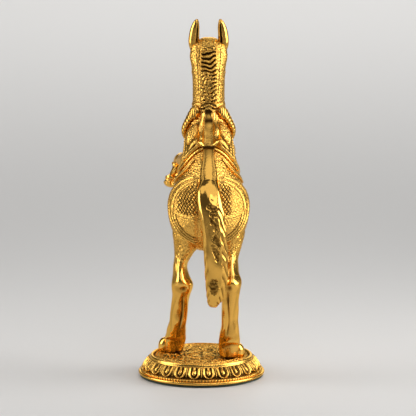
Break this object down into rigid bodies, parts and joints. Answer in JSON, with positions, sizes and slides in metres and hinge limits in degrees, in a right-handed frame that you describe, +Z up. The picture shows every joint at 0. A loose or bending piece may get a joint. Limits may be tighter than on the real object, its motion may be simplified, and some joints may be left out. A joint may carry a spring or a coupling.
{
  "type": "rearing horse statue",
  "caption": "Gold-plated cast metal horse rearing on its hind legs on a round lotus plinth, with saddle, harness, rump cloths and a long hanging tail.",
  "frame": {"origin": "centre of the felt pad's lower face, where the plinth stands", "axes": "+Z up, +Y the way the horse faces, +X towards the horse's right side"},
  "size_m": [0.0824, 0.1295, 0.2291],
  "materials": {
    "gold": "bright gold plating, polished with darker recesses",
    "engraved_gold": "gold plating over engraved relief, satin",
    "steel": "plain zinc-plated steel",
    "felt": "dark green felt"
  },
  "bodies": {
    "root": {"plinth": "gold", "plinth_top_disc": "engraved_gold", "felt_pad": "felt", "hoof_stud_left": "steel", "hoof_stud_right": "steel", "stud_washer_left": "steel", "stud_washer_right": "steel", "stud_nut_left": "steel", "stud_nut_right": "steel", "trunk": "gold", "neck": "gold", "head": "gold", "ear_left": "gold", "ear_right": "gold", "mane": "engraved_gold", "forelock": "engraved_gold", "hind_leg_left": "gold", "hind_leg_right": "gold", "foreleg_left": "gold", "foreleg_right": "gold", "tail": "gold", "rump_cloth_left": "engraved_gold", "rump_cloth_right": "engraved_gold", "saddle_blanket": "engraved_gold", "saddle_seat": "gold", "girth_strap": "engraved_gold", "neck_collar": "gold", "crupper_strap": "gold", "hip_strap_left": "engraved_gold", "hip_strap_right": "engraved_gold", "bridle_noseband": "engraved_gold", "bridle_cheek_left": "engraved_gold", "bridle_cheek_right": "engraved_gold"}
  },
  "joints": []
}
